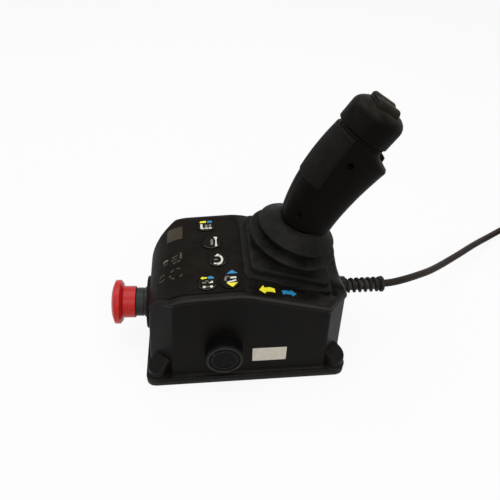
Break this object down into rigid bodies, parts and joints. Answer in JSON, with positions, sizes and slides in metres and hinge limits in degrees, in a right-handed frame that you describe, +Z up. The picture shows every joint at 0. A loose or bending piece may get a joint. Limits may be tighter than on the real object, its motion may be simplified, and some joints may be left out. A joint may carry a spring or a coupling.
{
  "type": "platform control box",
  "caption": "Sloped black control box with a key panel, a red push-pull stop button, a round sounder, a booted joystick with thumb rocker and trigger, and a cable with a spiral bend relief.",
  "frame": {"origin": "centre of the underside of the base plate", "axes": "+Z up from the base, +X towards the cable end, +Y to the left of an operator who faces the cable end"},
  "size_m": [0.5889, 0.2206, 0.2359],
  "materials": {
    "shell_plastic": "satin black, fine moulded grain",
    "base_paint": "black powder coat",
    "gasket_rubber": "matte",
    "screw_steel": "zinc plated",
    "overlay_film": "satin printed film",
    "window_film": "tinted, clear",
    "inner_plastic": "moulded",
    "board_laminate": "solder mask",
    "key_film": "satin",
    "stop_red": "semi gloss",
    "collar_grey": "satin",
    "sounder_plastic": "satin",
    "frame_steel": "zinc plated",
    "boot_rubber": "matte, dusty",
    "grip_plastic": "satin",
    "pad_rubber": "ribbed, matte",
    "gland_plastic": "satin",
    "cord_rubber": "matte"
  },
  "bodies": {
    "box": {"housing_shell": "shell_plastic", "base_plate": "base_paint", "base_gasket": "gasket_rubber", "base_screws": "screw_steel", "board_screws": "screw_steel", "gimbal_screws": "screw_steel", "pivot_pin": "screw_steel", "centering_spring": "screw_steel", "panel_overlay": "overlay_film", "display_window": "window_film", "display_module": "inner_plastic", "key_switches": "inner_plastic", "stop_contact_block": "inner_plastic", "stop_nut": "inner_plastic", "sounder_nut": "inner_plastic", "position_sensor": "inner_plastic", "gland_locknut": "inner_plastic", "control_board": "board_laminate", "stop_collar": "collar_grey", "stop_plate": "collar_grey", "sounder_body": "sounder_plastic", "gimbal_frame": "frame_steel", "boot": "boot_rubber", "cable_gland": "gland_plastic", "spiral_relief": "gland_plastic", "cord_tie": "gland_plastic", "cord_plug": "gland_plastic", "cord_lead": "cord_rubber", "cord_coil": "cord_rubber"},
    "stop": {"stop_button": "stop_red"},
    "stick": {"lever": "frame_steel", "grip_near_half": "grip_plastic", "grip_far_half": "grip_plastic", "grip_pad": "pad_rubber", "grip_screws": "screw_steel", "grip_cap": "grip_plastic", "trigger_pin": "screw_steel", "trigger_switch": "inner_plastic", "rocker_pin": "screw_steel", "rocker_switch": "inner_plastic"},
    "trigger": {"trigger": "grip_plastic"},
    "rocker": {"rocker": "grip_plastic"},
    "key_high_torque": {"key_high_torque": "key_film"},
    "key_horn": {"key_horn": "key_film"},
    "key_speed": {"key_speed": "key_film"},
    "key_drive": {"key_drive": "key_film"},
    "key_lift": {"key_lift": "key_film"}
  },
  "joints": [
    {"name": "stick_swing", "type": "hinge", "parent": "box", "child": "stick", "pos_m": [0.03218, 0.006, 0.07227], "axis": [0, 1, 0], "range_deg": [-20, 20], "stiffness_Nm_per_rad": 6, "springref_deg": -0.8, "deforming": ["boot", "centering_spring"]},
    {"name": "trigger_squeeze", "type": "hinge", "parent": "stick", "child": "trigger", "pos_m": [0.09706, 0.006, 0.17564], "axis": [0, -1, 0], "range_deg": [0, 8], "stiffness_Nm_per_rad": 0.3, "springref_deg": -5.73},
    {"name": "rocker_tilt", "type": "hinge", "parent": "stick", "child": "rocker", "pos_m": [0.09821, 0.006, 0.22253], "axis": [0.8382, 0, -0.5453], "range_deg": [-10, 10], "stiffness_Nm_per_rad": 0.3},
    {"name": "stop_push", "type": "slide", "parent": "box", "child": "stop", "axis": [0.9976, 0, -0.0698], "range_m": [0, 0.005]},
    {"name": "high_torque_press", "type": "slide", "parent": "box", "child": "key_high_torque", "axis": [0.0436, 0, -0.999], "range_m": [0, 0.0006], "stiffness_N_per_m": 2000, "springref_m": -0.0005},
    {"name": "horn_press", "type": "slide", "parent": "box", "child": "key_horn", "axis": [0.0436, 0, -0.999], "range_m": [0, 0.0006], "stiffness_N_per_m": 2000, "springref_m": -0.0005},
    {"name": "speed_press", "type": "slide", "parent": "box", "child": "key_speed", "axis": [0.0436, 0, -0.999], "range_m": [0, 0.0006], "stiffness_N_per_m": 2000, "springref_m": -0.0005},
    {"name": "drive_press", "type": "slide", "parent": "box", "child": "key_drive", "axis": [0.0436, 0, -0.999], "range_m": [0, 0.0006], "stiffness_N_per_m": 2000, "springref_m": -0.0005},
    {"name": "lift_press", "type": "slide", "parent": "box", "child": "key_lift", "axis": [0.0436, 0, -0.999], "range_m": [0, 0.0006], "stiffness_N_per_m": 2000, "springref_m": -0.0005}
  ]
}
